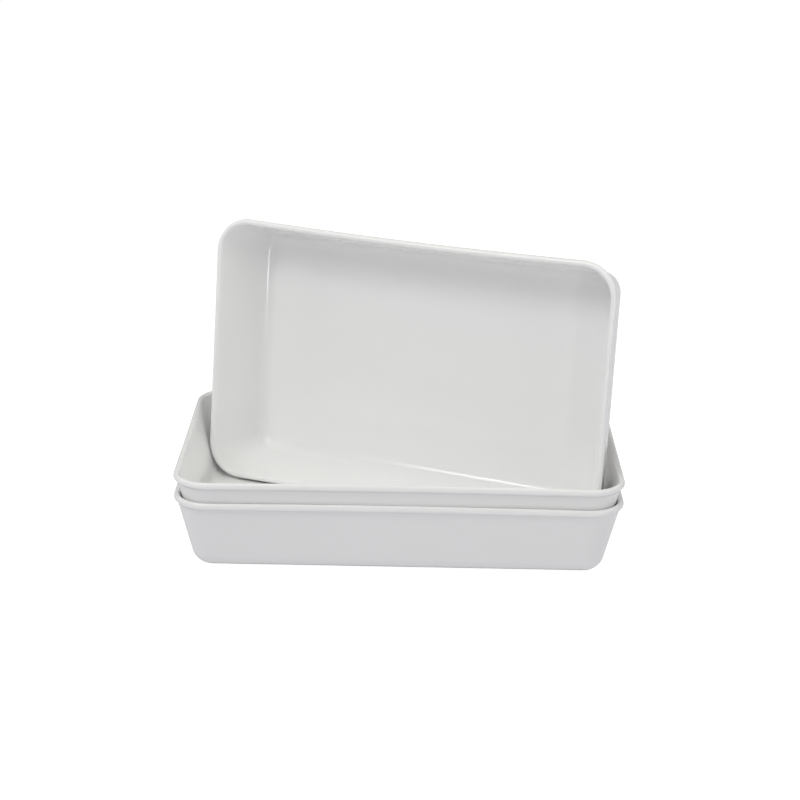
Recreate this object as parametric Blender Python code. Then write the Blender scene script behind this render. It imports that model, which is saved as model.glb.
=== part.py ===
"""Set of three stackable developing trays: two nested, the third stood on its long rim in the upper one.

Every tray is the same one-piece moulding: a flat floor with a round fillet into four drafted walls, which
flare into a rounded lip at the rim. Metres, +Z up, origin at the centre of the lower tray's underside.
"""
import math

import bmesh
import bpy
from mathutils import Euler, Vector

# Rim, the tray's largest outline
RIM_LENGTH = 0.300
RIM_WIDTH = 0.189
RIM_CORNER_RADIUS = 0.0255
TRAY_HEIGHT = 0.051

# Walls and floor
WALL_DRAFT = math.radians(14.0)
WALL_THICKNESS = 0.0025
FLOOR_THICKNESS = 0.0025
BASE_CORNER_RADIUS = 0.0125
BASE_FILLET_RADIUS = 0.0115
FLOOR_FILLET_RADIUS = 0.0105

# Rim section: the wall flares out to a lip with a rounded outer and inner edge
RIM_OVERHANG = 0.0010
RIM_FLARE_HEIGHT = 0.0030
RIM_OUTER_ROUND = 0.0017
RIM_OUTER_DROP = 0.0030
RIM_INNER_ROUND = 0.0024

# The free rim draws inwards at the middle of each side, and the floor stays straight
LONG_SIDE_BOW = 0.0024
SHORT_SIDE_BOW = 0.0003

# How far one tray stands above the next when they nest: the drafted walls wedge with a little play
NEST_PITCH = 0.0146

# The third tray stands on its lower long rim, turned across the upper tray and leaning back on its rear wall
STAND_ANGLE = math.radians(82.1)
STAND_ROLL = math.radians(-0.95)
STAND_YAW = math.radians(-25.2)
STAND_RIM_CENTRE = Vector((-0.0007, -0.0093, 0.1136))

# Mesh fineness
CORNER_SEGMENTS = 8
LONG_SIDE_SEGMENTS = 6
SHORT_SIDE_SEGMENTS = 4
FILLET_SEGMENTS = 6
FLARE_SEGMENTS = 3
ROUND_SEGMENTS = 3
SMOOTH_ANGLE = math.radians(35.0)

TRAY_WHITE = (0.86, 0.86, 0.85, 1.0)


def clear_scene():
    """Remove every object that the scene starts with."""
    for thing in list(bpy.data.objects):
        bpy.data.objects.remove(thing, do_unlink=True)


def wall_inset(height):
    """Distance from the rim's outline in to the wall's outer face at a height above the underside."""
    return RIM_OVERHANG + (TRAY_HEIGHT - height) * math.tan(WALL_DRAFT)


def corner_radius(inset, height):
    """Corner radius of a ring, seen from above: rings at one height run parallel to each other."""
    top_radius = RIM_CORNER_RADIUS - RIM_OVERHANG
    wall_radius = BASE_CORNER_RADIUS + (top_radius - BASE_CORNER_RADIUS) * height / TRAY_HEIGHT
    return wall_radius + wall_inset(height) - inset


def arc(centre, radius, start, end, segments):
    """Points (inset, height) along an arc in the tray's section."""
    points = []
    for step in range(segments + 1):
        angle = start + (end - start) * step / segments
        points.append((centre[0] + radius * math.cos(angle), centre[1] + radius * math.sin(angle)))
    return points


def flare_point(share):
    """A point of the rim's flare, from the wall (0) out to the foot of the lip's rounding (1)."""
    height = TRAY_HEIGHT - RIM_OUTER_DROP - RIM_FLARE_HEIGHT * (1 - share)
    inwards = (1 - share) ** 2 * (1 + 2 * share)
    return wall_inset(height) * inwards, height


def lip_arc(segments):
    """Points of the lip's outer edge, a quarter of an ellipse from the flare up to the rim's top face."""
    angles = [math.pi / 2 * step / segments for step in range(segments + 1)]
    return [
        (RIM_OUTER_ROUND * (1 - math.cos(a)), TRAY_HEIGHT - RIM_OUTER_DROP * (1 - math.sin(a)))
        for a in angles
    ]


def outer_section():
    """Section of the outside, from the flat underside up to the rim's top face: (inset, height)."""
    turn = math.pi / 2 - WALL_DRAFT
    fillet_centre = (wall_inset(0.0) + BASE_FILLET_RADIUS * math.tan(turn / 2), BASE_FILLET_RADIUS)
    fillet = arc(fillet_centre, BASE_FILLET_RADIUS, -math.pi / 2, -math.pi + WALL_DRAFT, FILLET_SEGMENTS)
    flare = [flare_point(step / FLARE_SEGMENTS) for step in range(FLARE_SEGMENTS)]
    return fillet + flare + lip_arc(ROUND_SEGMENTS)


def inner_section():
    """Section of the inside, from the rim's top face down to the floor: (inset, height)."""
    turn = math.pi / 2 - WALL_DRAFT
    wall_across = WALL_THICKNESS / math.cos(WALL_DRAFT)
    rim_inset = wall_inset(TRAY_HEIGHT) + wall_across
    edge_centre = (rim_inset - RIM_INNER_ROUND * math.tan(turn / 2), TRAY_HEIGHT - RIM_INNER_ROUND)
    edge = arc(edge_centre, RIM_INNER_ROUND, math.pi / 2, WALL_DRAFT, ROUND_SEGMENTS)

    floor_corner = wall_inset(FLOOR_THICKNESS) + wall_across
    fillet_centre = (
        floor_corner + FLOOR_FILLET_RADIUS * math.tan(turn / 2),
        FLOOR_THICKNESS + FLOOR_FILLET_RADIUS,
    )
    fillet = arc(fillet_centre, FLOOR_FILLET_RADIUS, -math.pi + WALL_DRAFT, -math.pi / 2, FILLET_SEGMENTS)
    return edge + fillet


def side_points(start, end, segments):
    """Points between two corners, without either end."""
    return [start.lerp(end, step / segments) for step in range(1, segments)]


def ring_outline(inset, height):
    """One closed ring round the tray: a rounded rectangle whose sides bow inwards towards the rim."""
    half_length = RIM_LENGTH / 2 - inset
    half_width = RIM_WIDTH / 2 - inset
    radius = corner_radius(inset, height)
    corners = [(1, 1), (-1, 1), (-1, -1), (1, -1)]
    corner_arcs = []
    for turn, (side_x, side_y) in enumerate(corners):
        centre = Vector((side_x * (half_length - radius), side_y * (half_width - radius)))
        steps = [math.pi / 2 * (turn + step / CORNER_SEGMENTS) for step in range(CORNER_SEGMENTS + 1)]
        corner_arcs.append([centre + radius * Vector((math.cos(a), math.sin(a))) for a in steps])

    flat_ring = []
    for turn, corner in enumerate(corner_arcs):
        following = corner_arcs[(turn + 1) % len(corner_arcs)]
        segments = LONG_SIDE_SEGMENTS if turn % 2 == 0 else SHORT_SIDE_SEGMENTS
        flat_ring += corner + side_points(corner[-1], following[0], segments)

    share = height / TRAY_HEIGHT
    ring = []
    for point in flat_ring:
        along = math.cos(math.pi / 2 * point.x / half_length)
        across = math.cos(math.pi / 2 * point.y / half_width)
        x = point.x * (1 - share * SHORT_SIDE_BOW / half_length * across)
        y = point.y * (1 - share * LONG_SIDE_BOW / half_width * along)
        ring.append(Vector((x, y, height)))
    return ring


def tray_mesh():
    """The tray as one closed mesh: rings up the outside, over the rim and down to the floor."""
    build = bmesh.new()
    rings = []
    for inset, height in outer_section() + inner_section():
        rings.append([build.verts.new(point) for point in ring_outline(inset, height)])
    for lower, upper in zip(rings, rings[1:]):
        for step in range(len(lower)):
            after = (step + 1) % len(lower)
            build.faces.new((lower[step], lower[after], upper[after], upper[step]))
    build.faces.new(list(reversed(rings[0])))
    build.faces.new(rings[-1])
    bmesh.ops.recalc_face_normals(build, faces=build.faces)
    mesh = bpy.data.meshes.new("tray")
    build.to_mesh(mesh)
    build.free()
    mesh.shade_smooth()
    mesh.set_sharp_from_angle(angle=SMOOTH_ANGLE)
    return mesh


def tray_plastic(name):
    """Glossy white moulded plastic."""
    material = bpy.data.materials.new(name)
    material.use_nodes = True
    surface = material.node_tree.nodes["Principled BSDF"]
    surface.inputs["Base Color"].default_value = TRAY_WHITE
    surface.inputs["Roughness"].default_value = 0.3
    surface.inputs["Metallic"].default_value = 0.0
    return material


def add_tray(name, location, rotation):
    """One tray, as its own object with its own mesh and material."""
    mesh = tray_mesh()
    mesh.name = name
    mesh.materials.append(tray_plastic(name + "_plastic"))
    tray = bpy.data.objects.new(name, mesh)
    tray.location = location
    tray.rotation_euler = rotation
    bpy.context.scene.collection.objects.link(tray)
    return tray


def build_set():
    """The lower tray, the tray nested in it and the tray that leans in the nest."""
    clear_scene()
    level = Euler((0.0, 0.0, 0.0))
    leaning = Euler((STAND_ANGLE, STAND_ROLL, STAND_YAW))
    rim_centre_in_tray = Vector((0.0, 0.0, TRAY_HEIGHT))
    leaning_place = STAND_RIM_CENTRE - leaning.to_matrix() @ rim_centre_in_tray

    add_tray("lower_tray", Vector((0.0, 0.0, 0.0)), level)
    add_tray("nested_tray", Vector((0.0, 0.0, NEST_PITCH)), level)
    add_tray("leaning_tray", leaning_place, leaning)


build_set()
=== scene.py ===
"""Looks of the set of three developing trays: fine moulded shells, glossy white plastic, pale studio."""

import math

import bmesh
import bpy
from mathutils import Euler, Matrix, Vector


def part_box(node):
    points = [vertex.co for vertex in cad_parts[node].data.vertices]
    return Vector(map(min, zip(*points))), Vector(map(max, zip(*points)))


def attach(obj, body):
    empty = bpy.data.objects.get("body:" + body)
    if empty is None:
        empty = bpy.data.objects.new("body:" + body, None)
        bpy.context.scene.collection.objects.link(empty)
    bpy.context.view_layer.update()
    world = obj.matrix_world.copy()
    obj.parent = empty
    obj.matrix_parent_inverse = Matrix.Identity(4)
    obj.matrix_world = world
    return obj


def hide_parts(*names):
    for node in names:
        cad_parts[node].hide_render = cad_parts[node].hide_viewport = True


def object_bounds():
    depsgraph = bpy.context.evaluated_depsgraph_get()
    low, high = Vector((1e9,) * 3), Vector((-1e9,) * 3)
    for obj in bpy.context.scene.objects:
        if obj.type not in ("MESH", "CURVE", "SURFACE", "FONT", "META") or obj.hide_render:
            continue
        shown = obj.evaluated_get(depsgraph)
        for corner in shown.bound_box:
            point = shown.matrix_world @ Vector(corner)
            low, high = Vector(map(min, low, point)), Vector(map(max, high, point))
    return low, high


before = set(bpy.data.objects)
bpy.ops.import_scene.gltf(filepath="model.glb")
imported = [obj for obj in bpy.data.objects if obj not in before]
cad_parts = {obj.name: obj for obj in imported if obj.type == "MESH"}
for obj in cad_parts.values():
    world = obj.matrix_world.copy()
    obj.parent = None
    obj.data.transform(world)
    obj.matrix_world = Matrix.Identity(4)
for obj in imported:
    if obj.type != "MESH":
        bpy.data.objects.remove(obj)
cad_low, cad_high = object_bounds()

# The tray's own shape, in metres: the rim's outline, the walls and the rim's section
RIM_LENGTH = 0.300
RIM_WIDTH = 0.189
RIM_CORNER_RADIUS = 0.0255
TRAY_HEIGHT = 0.051
WALL_DRAFT = math.radians(14.0)
WALL_THICKNESS = 0.0025
FLOOR_THICKNESS = 0.0025
BASE_CORNER_RADIUS = 0.0125
BASE_FILLET_RADIUS = 0.0115
FLOOR_FILLET_RADIUS = 0.0105
RIM_OVERHANG = 0.0010
RIM_FLARE_HEIGHT = 0.0030
RIM_OUTER_ROUND = 0.0017
RIM_OUTER_DROP = 0.0030
RIM_INNER_ROUND = 0.0024
LONG_SIDE_BOW = 0.0024
SHORT_SIDE_BOW = 0.0003

# How the third tray stands in the nest
STAND_ANGLE = math.radians(82.1)
STAND_ROLL = math.radians(-0.95)
STAND_YAW = math.radians(-25.2)
STAND_RIM_CENTRE = Vector((-0.0007, -0.0093, 0.1136))

# The moulding gate's mark: a shallow round recess in the middle of the underside, with a broken-off nub in it
GATE_RADIUS = 0.0050
GATE_DEPTH = 0.0005
GATE_ROUND = 0.0004
NUB_RADIUS = 0.0012
NUB_TIP_DEPTH = 0.35 * GATE_DEPTH

# Mesh fineness
CORNER_SEGMENTS = 24
LONG_SIDE_SEGMENTS = 24
SHORT_SIDE_SEGMENTS = 16
FILLET_SEGMENTS = 16
ROUND_SEGMENTS = 7
FLARE_SEGMENTS = 8
WALL_SEGMENTS = 8
FLAT_MARGIN = 0.0020

# How far a fine shell's box may be from its CAD tray's box
BOX_TOLERANCE = 0.0003

# The plastic: its colours, its gloss, and its skin's relief as features to the metre and full depth in metres
PLASTIC_WHITE = (0.925, 0.925, 0.922)
PLASTIC_AGED = (0.905, 0.903, 0.892)
PLASTIC_WORN = (0.80, 0.79, 0.77)
AGED_SHARE = 0.22
WORN_SHARE = 0.35
PLASTIC_IOR = 1.49
PLASTIC_GLOSS_ROUGHNESS = 0.13
SCUFF_ROUGHNESS = 0.03
AGED_ROUGHNESS = 0.03
WORN_ROUGHNESS = 0.22
FLOW_SCALE, FLOW_DEPTH = 45.0, 0.00010
PEEL_SCALE, PEEL_DEPTH = 520.0, 0.000006
GRAIN_SCALE, GRAIN_DEPTH = 2600.0, 0.0000012
IN_TRAY = "in_tray"

# The studio's paper, and the surround's glow; the bands are heights on the unit sphere of directions
PAPER_GLOW = 0.97
PAPER_LIGHT = (0.25, 0.25, 0.25)
PAPER_DARK = (0.24, 0.24, 0.242)
PAPER_FIBRE_SCALE = 900.0
GROUND_GLOW = (0.652, 0.648, 0.676)
ROOM_GLOW = (0.185, 0.185, 0.180)
CEILING_SHARE = 0.4
HORIZON_BAND = (-0.20, 0.05)
CEILING_BAND = (0.35, 0.75)

# The studio's floor, in metres, and the point that the lights face
FLOOR_REACH = 8.0
SWEEP_RADIUS = 4.0
SWEEP_SEGMENTS = 24
FLOOR_GAP = 0.0002
CONTACT_MARGIN = 0.006
LIGHT_TARGET_HEIGHT = 0.1

# Camera: metres, degrees and millimetres of lens, round a point half a tray's height above the origin
CAMERA_DISTANCE = 1.3128
CAMERA_AZIMUTH = 0.34
CAMERA_ELEVATION = 22.70
CAMERA_ROLL = -0.94
CAMERA_TILT = -2.745
CAMERA_PAN = 0.017
CAMERA_LENS = 83.57
CAMERA_SENSOR = 36.0


# ---------------------------------------------------------------- tray shape

def wall_inset(height):
    """Distance from the rim's outline in to the wall's outer face at a height above the underside."""
    return RIM_OVERHANG + (TRAY_HEIGHT - height) * math.tan(WALL_DRAFT)


def corner_radius(inset, height):
    """Corner radius of a ring, seen from above: rings at one height run parallel to each other."""
    top_radius = RIM_CORNER_RADIUS - RIM_OVERHANG
    wall_radius = BASE_CORNER_RADIUS + (top_radius - BASE_CORNER_RADIUS) * height / TRAY_HEIGHT
    return wall_radius + wall_inset(height) - inset


def arc(centre, radius, start, end, segments):
    """Points (inset, height) along an arc in the tray's section."""
    angles = [start + (end - start) * step / segments for step in range(segments + 1)]
    return [(centre[0] + radius * math.cos(a), centre[1] + radius * math.sin(a)) for a in angles]


def straight(start, end, segments):
    """Points between two points of the section, without either end."""
    shares = [step / segments for step in range(1, segments)]
    return [tuple(a + (b - a) * share for a, b in zip(start, end)) for share in shares]


def flare_point(share):
    """A point of the rim's flare, from the wall (0) out to the foot of the lip's rounding (1)."""
    height = TRAY_HEIGHT - RIM_OUTER_DROP - RIM_FLARE_HEIGHT * (1 - share)
    inwards = (1 - share) ** 2 * (1 + 2 * share)
    return wall_inset(height) * inwards, height


def lip_arc(segments):
    """Points of the lip's outer edge, a quarter of an ellipse from the flare up to the rim's top face."""
    angles = [math.pi / 2 * step / segments for step in range(segments + 1)]
    return [
        (RIM_OUTER_ROUND * (1 - math.cos(a)), TRAY_HEIGHT - RIM_OUTER_DROP * (1 - math.sin(a)))
        for a in angles
    ]


def outer_section():
    """Section of the outside, from the underside up to the rim's top face: (inset, height)."""
    turn = math.pi / 2 - WALL_DRAFT
    fillet_centre = (wall_inset(0.0) + BASE_FILLET_RADIUS * math.tan(turn / 2), BASE_FILLET_RADIUS)
    points = [(fillet_centre[0] + FLAT_MARGIN, 0.0)]
    points += arc(fillet_centre, BASE_FILLET_RADIUS, -math.pi / 2, -math.pi + WALL_DRAFT, FILLET_SEGMENTS)
    flare = [flare_point(step / FLARE_SEGMENTS) for step in range(FLARE_SEGMENTS)]
    points += straight(points[-1], flare[0], WALL_SEGMENTS) + flare
    return points + lip_arc(ROUND_SEGMENTS)


def inner_section():
    """Section of the inside, from the rim's top face down to the floor: (inset, height)."""
    turn = math.pi / 2 - WALL_DRAFT
    wall_across = WALL_THICKNESS / math.cos(WALL_DRAFT)
    rim_inset = wall_inset(TRAY_HEIGHT) + wall_across
    edge_centre = (rim_inset - RIM_INNER_ROUND * math.tan(turn / 2), TRAY_HEIGHT - RIM_INNER_ROUND)
    points = arc(edge_centre, RIM_INNER_ROUND, math.pi / 2, WALL_DRAFT, ROUND_SEGMENTS)

    fillet_centre = (
        wall_inset(FLOOR_THICKNESS) + wall_across + FLOOR_FILLET_RADIUS * math.tan(turn / 2),
        FLOOR_THICKNESS + FLOOR_FILLET_RADIUS,
    )
    fillet = arc(fillet_centre, FLOOR_FILLET_RADIUS, -math.pi + WALL_DRAFT, -math.pi / 2, FILLET_SEGMENTS)
    flat = (fillet_centre[0] + FLAT_MARGIN, FLOOR_THICKNESS)
    return points + straight(points[-1], fillet[0], WALL_SEGMENTS) + fillet + [flat]


def ring_outline(inset, height):
    """One closed ring round the tray: a rounded rectangle whose sides bow inwards towards the rim."""
    half_length = RIM_LENGTH / 2 - inset
    half_width = RIM_WIDTH / 2 - inset
    radius = corner_radius(inset, height)
    corner_arcs = []
    for turn, (side_x, side_y) in enumerate([(1, 1), (-1, 1), (-1, -1), (1, -1)]):
        centre = Vector((side_x * (half_length - radius), side_y * (half_width - radius)))
        steps = [math.pi / 2 * (turn + step / CORNER_SEGMENTS) for step in range(CORNER_SEGMENTS + 1)]
        corner_arcs.append([centre + radius * Vector((math.cos(a), math.sin(a))) for a in steps])

    ring = []
    share = height / TRAY_HEIGHT
    for turn, corner in enumerate(corner_arcs):
        following = corner_arcs[(turn + 1) % len(corner_arcs)]
        segments = LONG_SIDE_SEGMENTS if turn % 2 == 0 else SHORT_SIDE_SEGMENTS
        side = [corner[-1].lerp(following[0], step / segments) for step in range(1, segments)]
        for point in corner + side:
            along = math.cos(math.pi / 2 * point.x / half_length)
            across = math.cos(math.pi / 2 * point.y / half_width)
            x = point.x * (1 - share * SHORT_SIDE_BOW / half_length * across)
            y = point.y * (1 - share * LONG_SIDE_BOW / half_width * along)
            ring.append(Vector((x, y, height)))
    return ring


def gate_section():
    """Section of the gate's mark, from the nub's tip out to the flat underside: (radius, height)."""
    return [
        (NUB_RADIUS * 0.3, NUB_TIP_DEPTH),
        (NUB_RADIUS * 0.8, NUB_TIP_DEPTH + GATE_DEPTH * 0.08),
        (NUB_RADIUS, GATE_DEPTH),
        (GATE_RADIUS - GATE_ROUND, GATE_DEPTH),
        (GATE_RADIUS, GATE_DEPTH * 0.6),
        (GATE_RADIUS + GATE_ROUND * 0.2, 0.0),
        (GATE_RADIUS + FLAT_MARGIN, 0.0),
    ]


def tray_rings():
    """All rings of one tray: the gate's mark, up the outside, over the rim and down to the floor."""
    section = outer_section() + inner_section()
    outlines = [ring_outline(inset, height) for inset, height in section]
    directions = [Vector((point.x, point.y)).normalized() for point in outlines[0]]
    gate = []
    for radius, height in gate_section():
        gate.append([Vector((way.x * radius, way.y * radius, height)) for way in directions])
    return gate + outlines


def tray_shell(name, place):
    """One tray as a fine closed mesh, with place as its matrix in the frame."""
    build = bmesh.new()
    rings = [[build.verts.new(point) for point in ring] for ring in tray_rings()]
    for lower, upper in zip(rings, rings[1:]):
        for step in range(len(lower)):
            after = (step + 1) % len(lower)
            build.faces.new((lower[step], lower[after], upper[after], upper[step]))
    build.faces.new(list(reversed(rings[0])))
    build.faces.new(rings[-1])
    bmesh.ops.recalc_face_normals(build, faces=build.faces)
    mesh = bpy.data.meshes.new(name)
    build.to_mesh(mesh)
    build.free()
    mesh.shade_smooth()

    in_tray = mesh.attributes.new(IN_TRAY, "FLOAT_VECTOR", "POINT")
    in_tray.data.foreach_set("vector", [number for vertex in mesh.vertices for number in vertex.co])
    mesh.transform(place)
    tray = bpy.data.objects.new(name, mesh)
    bpy.context.scene.collection.objects.link(tray)
    return tray


# ---------------------------------------------------------------- materials

class Shader:
    """The node tree of a material or a world, with one short call for each kind of node it needs."""

    def __init__(self, owner, surface):
        owner.use_nodes = True
        self.links = owner.node_tree.links
        self.nodes = owner.node_tree.nodes
        self.surface = self.nodes[surface]

    def plug(self, value, socket):
        """Link an output to a socket, or set a plain value on it."""
        if isinstance(value, bpy.types.NodeSocket):
            self.links.new(value, socket)
        else:
            socket.default_value = value

    def math(self, operation, first, second=0.0):
        """Two numbers combined."""
        node = self.nodes.new("ShaderNodeMath")
        node.operation = operation
        self.plug(first, node.inputs[0])
        self.plug(second, node.inputs[1])
        return node.outputs["Value"]

    def ramp(self, value, start, end, low=0.0, high=1.0):
        """A number that rises smoothly from low at start to high at end."""
        node = self.nodes.new("ShaderNodeMapRange")
        node.interpolation_type = "SMOOTHSTEP"
        self.plug(value, node.inputs["Value"])
        node.inputs["From Min"].default_value = start
        node.inputs["From Max"].default_value = end
        node.inputs["To Min"].default_value = low
        node.inputs["To Max"].default_value = high
        return node.outputs["Result"]

    def noise(self, where, scale, detail=2.0, stretch=(1.0, 1.0, 1.0)):
        """Noise with scale features to the metre, stretched along the axes."""
        mapping = self.nodes.new("ShaderNodeMapping")
        mapping.inputs["Scale"].default_value = stretch
        self.plug(where, mapping.inputs["Vector"])
        node = self.nodes.new("ShaderNodeTexNoise")
        self.plug(mapping.outputs["Vector"], node.inputs["Vector"])
        node.inputs["Scale"].default_value = scale
        node.inputs["Detail"].default_value = detail
        return node.outputs["Fac"]

    def mix(self, share, first, second):
        """A colour between two colours."""
        node = self.nodes.new("ShaderNodeMix")
        node.data_type = "RGBA"
        self.plug(share, node.inputs["Factor"])
        self.plug((*first, 1.0) if isinstance(first, tuple) else first, node.inputs["A"])
        self.plug((*second, 1.0) if isinstance(second, tuple) else second, node.inputs["B"])
        return node.outputs["Result"]

    def bump(self, height, depth, below=None):
        """Relief whose full height is depth metres, laid over another relief."""
        node = self.nodes.new("ShaderNodeBump")
        self.plug(height, node.inputs["Height"])
        node.inputs["Strength"].default_value = 1.0
        node.inputs["Distance"].default_value = depth
        if below is not None:
            self.plug(below, node.inputs["Normal"])
        return node.outputs["Normal"]


def white_plastic():
    """Glossy white moulded plastic: a slightly wavy skin, faint mottling, and gloss dulled by handling."""
    material = bpy.data.materials.new("white_plastic")
    shader = Shader(material, "Principled BSDF")
    attribute = shader.nodes.new("ShaderNodeAttribute")
    attribute.attribute_name = IN_TRAY
    where = attribute.outputs["Vector"]
    apart = shader.nodes.new("ShaderNodeSeparateXYZ")
    shader.plug(where, apart.inputs["Vector"])
    height = apart.outputs["Z"]

    lip = shader.ramp(height, TRAY_HEIGHT - 2 * RIM_INNER_ROUND, TRAY_HEIGHT)
    foot = shader.ramp(height, 0.0, FLOOR_THICKNESS * 0.7, 1.0, 0.0)

    mottle = shader.ramp(shader.noise(where, 17.0, 4.0), 0.38, 0.68)
    streaks = shader.ramp(shader.noise(where, 26.0, 3.0, (1.0, 11.0, 4.0)), 0.52, 0.72)
    cross_streaks = shader.ramp(shader.noise(where, 31.0, 3.0, (13.0, 1.0, 5.0)), 0.54, 0.74)
    handled = shader.ramp(shader.noise(where, 21.0, 3.0), 0.42, 0.62)
    scuffs = shader.math("MULTIPLY", shader.math("MAXIMUM", streaks, cross_streaks), handled)
    worn = shader.math("MAXIMUM", shader.math("MULTIPLY", lip, WORN_SHARE), foot)

    tone = shader.mix(shader.math("MULTIPLY", mottle, AGED_SHARE), PLASTIC_WHITE, PLASTIC_AGED)
    tone = shader.mix(shader.math("MULTIPLY", foot, WORN_SHARE), tone, PLASTIC_WORN)
    shader.plug(tone, shader.surface.inputs["Base Color"])

    gloss = shader.math("ADD", shader.math("MULTIPLY", scuffs, SCUFF_ROUGHNESS), PLASTIC_GLOSS_ROUGHNESS)
    gloss = shader.math("ADD", shader.math("MULTIPLY", mottle, AGED_ROUGHNESS), gloss)
    gloss = shader.math("ADD", shader.math("MULTIPLY", worn, WORN_ROUGHNESS), gloss)
    shader.plug(gloss, shader.surface.inputs["Roughness"])
    shader.surface.inputs["IOR"].default_value = PLASTIC_IOR

    flow = shader.bump(shader.noise(where, FLOW_SCALE, 1.0), FLOW_DEPTH)
    peel = shader.bump(shader.noise(where, PEEL_SCALE, 2.0), PEEL_DEPTH, flow)
    grain = shader.bump(shader.noise(where, GRAIN_SCALE, 1.0), GRAIN_DEPTH, peel)
    shader.plug(grain, shader.surface.inputs["Normal"])
    return material


def studio_paper(name, glow):
    """Matt white paper, which can glow a little so that it stays pale to its far edge."""
    material = bpy.data.materials.new(name)
    shader = Shader(material, "Principled BSDF")
    position = shader.nodes.new("ShaderNodeNewGeometry").outputs["Position"]
    fibre = shader.noise(position, PAPER_FIBRE_SCALE, 4.0)
    shader.plug(shader.mix(fibre, PAPER_LIGHT, PAPER_DARK), shader.surface.inputs["Base Color"])
    shader.surface.inputs["Roughness"].default_value = 0.9
    shader.surface.inputs["Specular IOR Level"].default_value = 0.0
    shader.surface.inputs["Emission Color"].default_value = (1.0, 1.0, 1.0, 1.0)
    shader.surface.inputs["Emission Strength"].default_value = glow
    return material


# ---------------------------------------------------------------- studio

def add_softbox(name, azimuth, elevation, distance, size, power, tint=(1.0, 1.0, 1.0)):
    """A rectangular softbox, width by height, that faces the trays. Azimuth 0 is the camera's side."""
    turn = math.radians(azimuth)
    rise = math.radians(elevation)
    way = Vector((
        math.sin(turn) * math.cos(rise),
        -math.cos(turn) * math.cos(rise),
        math.sin(rise),
    ))
    lamp = bpy.data.lights.new(name, "AREA")
    lamp.shape = "RECTANGLE"
    lamp.size, lamp.size_y = size
    lamp.energy = power
    lamp.color = tint
    holder = bpy.data.objects.new(name, lamp)
    holder.location = Vector((0.0, 0.0, LIGHT_TARGET_HEIGHT)) + way * distance
    holder.rotation_euler = (-way).to_track_quat("-Z", "Y").to_euler()
    holder.visible_camera = False
    bpy.context.scene.collection.objects.link(holder)


def add_lights():
    """A top light, a wide key and its core from the front left, fills all round, a small low fold light."""
    add_softbox("top_light", 0.0, 84.0, 1.3, (1.2, 1.2), 6.2, (1.02, 1.01, 0.95))
    add_softbox("key_light", -40.0, 48.0, 1.5, (0.98, 0.26), 4.0)
    add_softbox("key_core", -50.5, 38.0, 1.5, (0.18, 0.18), 1.6)
    add_softbox("front_fill", 0.0, 14.0, 1.8, (1.2, 0.4), 0.6, (1.0, 1.0, 0.96))
    add_softbox("right_fill", 50.0, 24.0, 1.5, (0.8, 0.8), 3.4)
    add_softbox("left_fill", -95.0, 24.0, 1.5, (0.8, 0.8), 3.3)
    add_softbox("left_front_fill", -34.0, 24.0, 1.5, (0.6, 0.6), 1.7)
    add_softbox("right_side_fill", 95.0, 30.0, 1.5, (0.8, 0.8), 2.5)
    add_softbox("back_light", 180.0, 46.0, 1.8, (1.2, 1.2), 0.9)
    add_softbox("back_right_light", 130.0, 30.0, 1.8, (1.0, 1.0), 2.0)
    add_softbox("back_left_light", -150.0, 38.0, 1.8, (1.0, 1.0), 1.6)
    add_softbox("fold_light", 20.0, -0.2, 1.1, (0.035, 0.07), 0.50)


def add_world():
    """The surround: the white floor's glow below the horizon, a dimmer room above, dimmest overhead."""
    world = bpy.data.worlds.new("studio")
    bpy.context.scene.world = world
    shader = Shader(world, "Background")
    apart = shader.nodes.new("ShaderNodeSeparateXYZ")
    shader.plug(shader.nodes.new("ShaderNodeTexCoord").outputs["Generated"], apart.inputs["Vector"])
    height = apart.outputs["Z"]
    glow = shader.mix(shader.ramp(height, *HORIZON_BAND), GROUND_GLOW, ROOM_GLOW)
    shader.plug(glow, shader.surface.inputs["Color"])
    strength = shader.ramp(height, *CEILING_BAND, 1.0, CEILING_SHARE)
    shader.plug(strength, shader.surface.inputs["Strength"])


def stage_sheet(name, rings, material):
    """A sheet of the stage through rings of points, with its innermost ring filled."""
    build = bmesh.new()
    rings = [[build.verts.new(point) for point in ring] for ring in rings]
    build.faces.new(rings[0])
    for inner, outer in zip(rings, rings[1:]):
        for step in range(len(inner)):
            after = (step + 1) % len(inner)
            build.faces.new((inner[step], outer[step], outer[after], inner[after]))
    mesh = bpy.data.meshes.new(name)
    build.to_mesh(mesh)
    build.free()
    mesh.shade_smooth()
    mesh.materials.append(material)
    sheet = bpy.data.objects.new(name, mesh)
    bpy.context.scene.collection.objects.link(sheet)
    return sheet


def add_floor():
    """A plain pale floor that sweeps up far from the trays. Its bounce light is the world's lower half."""
    top = cad_low.z - FLOOR_GAP
    turns = [2 * math.pi * step / SWEEP_SEGMENTS for step in range(SWEEP_SEGMENTS)]
    rings = []
    for step in range(SWEEP_SEGMENTS + 1):
        rise = math.pi / 2 * step / SWEEP_SEGMENTS
        reach = FLOOR_REACH + SWEEP_RADIUS * math.sin(rise)
        height = top + SWEEP_RADIUS * (1 - math.cos(rise))
        rings.append([Vector((reach * math.cos(a), reach * math.sin(a), height)) for a in turns])
    floor = stage_sheet("studio_floor", rings, studio_paper("studio_paper", PAPER_GLOW))
    floor.visible_diffuse = False
    floor.visible_glossy = False
    floor.visible_shadow = False


def add_contact_shade():
    """The shaded floor under the lower tray: unseen itself, it keeps the glow off the tray's foot."""
    foot_inset = outer_section()[0][0] - FLAT_MARGIN - CONTACT_MARGIN
    outline = ring_outline(foot_inset, 0.0)
    for point in outline:
        point.z = cad_low.z - FLOOR_GAP / 2
    shade = stage_sheet("contact_shade", [outline], studio_paper("shaded_paper", 0.0))
    shade.visible_camera = False


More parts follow.
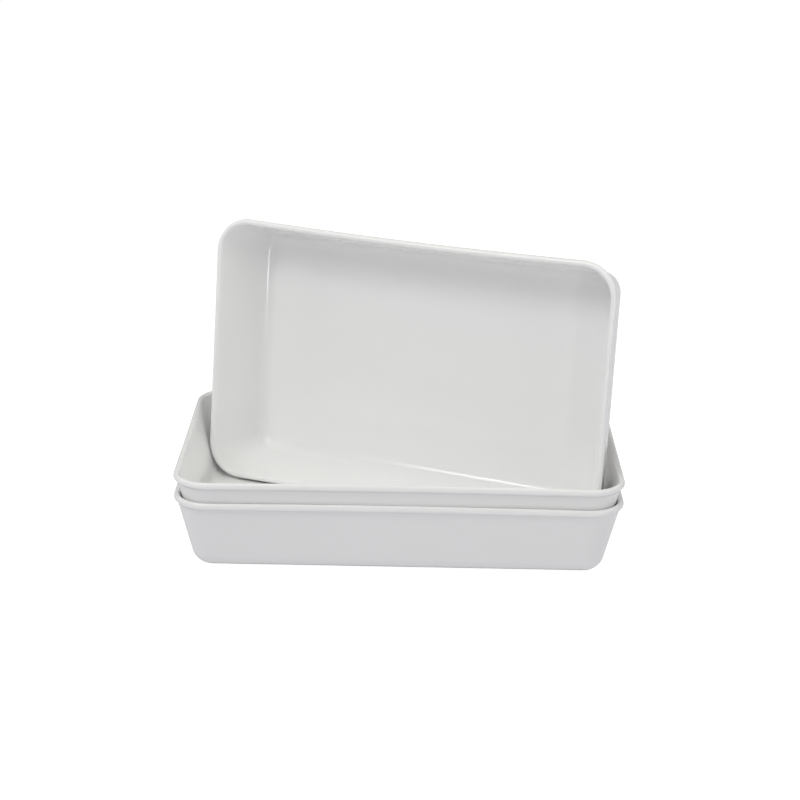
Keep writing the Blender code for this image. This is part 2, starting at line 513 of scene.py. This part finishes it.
def add_camera():
    """The camera, level with the long side and a little above the rim."""
    azimuth = math.radians(CAMERA_AZIMUTH)
    elevation = math.radians(CAMERA_ELEVATION)
    back = Vector((
        math.sin(azimuth) * math.cos(elevation),
        -math.cos(azimuth) * math.cos(elevation),
        math.sin(elevation),
    ))
    aim = back.to_track_quat("Z", "Y").to_matrix()
    turn = (
        Matrix.Rotation(math.radians(CAMERA_PAN), 3, "Y")
        @ Matrix.Rotation(math.radians(CAMERA_TILT), 3, "X")
        @ Matrix.Rotation(math.radians(CAMERA_ROLL), 3, "Z")
    )
    camera = bpy.data.objects.new("camera", bpy.data.cameras.new("camera"))
    camera.data.lens = CAMERA_LENS
    camera.data.sensor_width = CAMERA_SENSOR
    middle = Vector((0.0, 0.0, TRAY_HEIGHT / 2))
    camera.matrix_world = Matrix.LocRotScale(middle + back * CAMERA_DISTANCE, aim @ turn.transposed(), None)
    bpy.context.scene.collection.objects.link(camera)
    bpy.context.scene.camera = camera


# ---------------------------------------------------------------- the set

def check_place(piece, node):
    """Stop if a fine shell isn't where its CAD tray is."""
    low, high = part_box(node)
    points = [vertex.co for vertex in piece.data.vertices]
    for axis in range(3):
        piece_low = min(point[axis] for point in points)
        piece_high = max(point[axis] for point in points)
        if max(abs(piece_low - low[axis]), abs(piece_high - high[axis])) > BOX_TOLERANCE:
            raise ValueError(f"{piece.name} isn't where {node} is")


def add_trays():
    """The three trays, each standing for its CAD node."""
    plastic = white_plastic()
    leaning = Euler((STAND_ANGLE, STAND_ROLL, STAND_YAW)).to_matrix()
    leaning_place = STAND_RIM_CENTRE - leaning @ Vector((0.0, 0.0, TRAY_HEIGHT))
    places = {
        "lower": Matrix.Translation((0.0, 0.0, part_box("lower_tray")[0].z)),
        "nested": Matrix.Translation((0.0, 0.0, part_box("nested_tray")[0].z)),
        "leaning": Matrix.LocRotScale(leaning_place, leaning, None),
    }
    for body, place in places.items():
        node = body + "_tray"
        shell = tray_shell(body + "_tray_shell", place)
        shell.data.materials.append(plastic)
        check_place(shell, node)
        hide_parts(node)
        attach(shell, body)


add_trays()
add_floor()
add_contact_shade()
add_world()
add_lights()
add_camera()
bpy.context.scene.view_settings.view_transform = "Standard"
